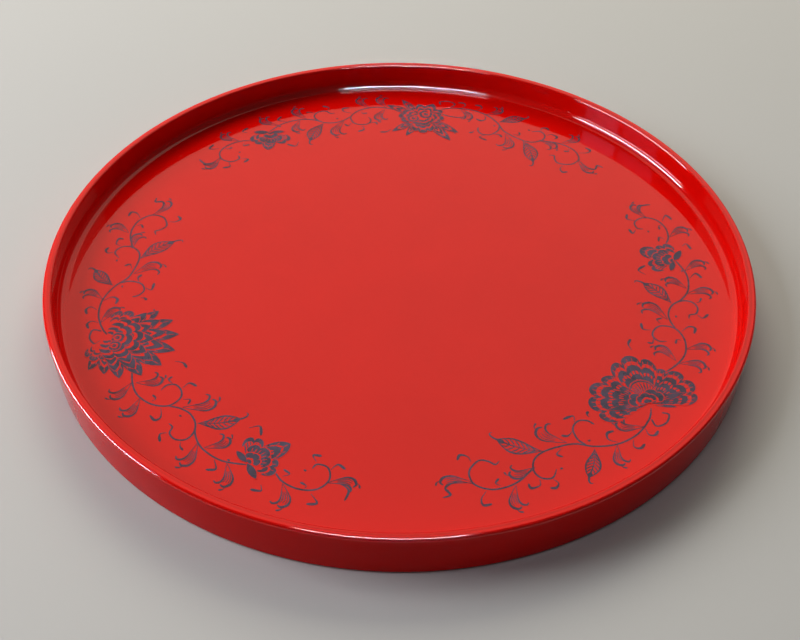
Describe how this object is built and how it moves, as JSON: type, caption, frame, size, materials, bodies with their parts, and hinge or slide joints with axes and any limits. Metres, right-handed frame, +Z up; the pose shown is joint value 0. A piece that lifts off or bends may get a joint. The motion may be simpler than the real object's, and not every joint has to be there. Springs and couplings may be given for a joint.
{
  "type": "serving tray",
  "caption": "Shallow round lacquered serving tray with an upright wall, a coved floor and a printed vine border; it carries dishes and stands flat.",
  "frame": {"origin": "centre of the tray on the plane it stands on", "axes": "+Z up along the tray's axis, +X to the right of the small gap between two vine sprays that faces the user, who is at -Y"},
  "size_m": [0.3599, 0.36, 0.0235],
  "materials": {
    "hoop_lacquer": "gloss",
    "floor_lacquer": "gloss",
    "foot_lacquer": "gloss",
    "peg_wood": "matte",
    "slate_ink": "satin"
  },
  "bodies": {
    "root": {"outer_hoop": "hoop_lacquer", "inner_hoop": "hoop_lacquer", "floor_panel": "floor_lacquer", "cove_bead": "floor_lacquer", "foot_ring": "foot_lacquer", "foot_ring_pegs": "peg_wood", "spray_right": "slate_ink", "spray_back": "slate_ink", "spray_left": "slate_ink"}
  },
  "joints": []
}
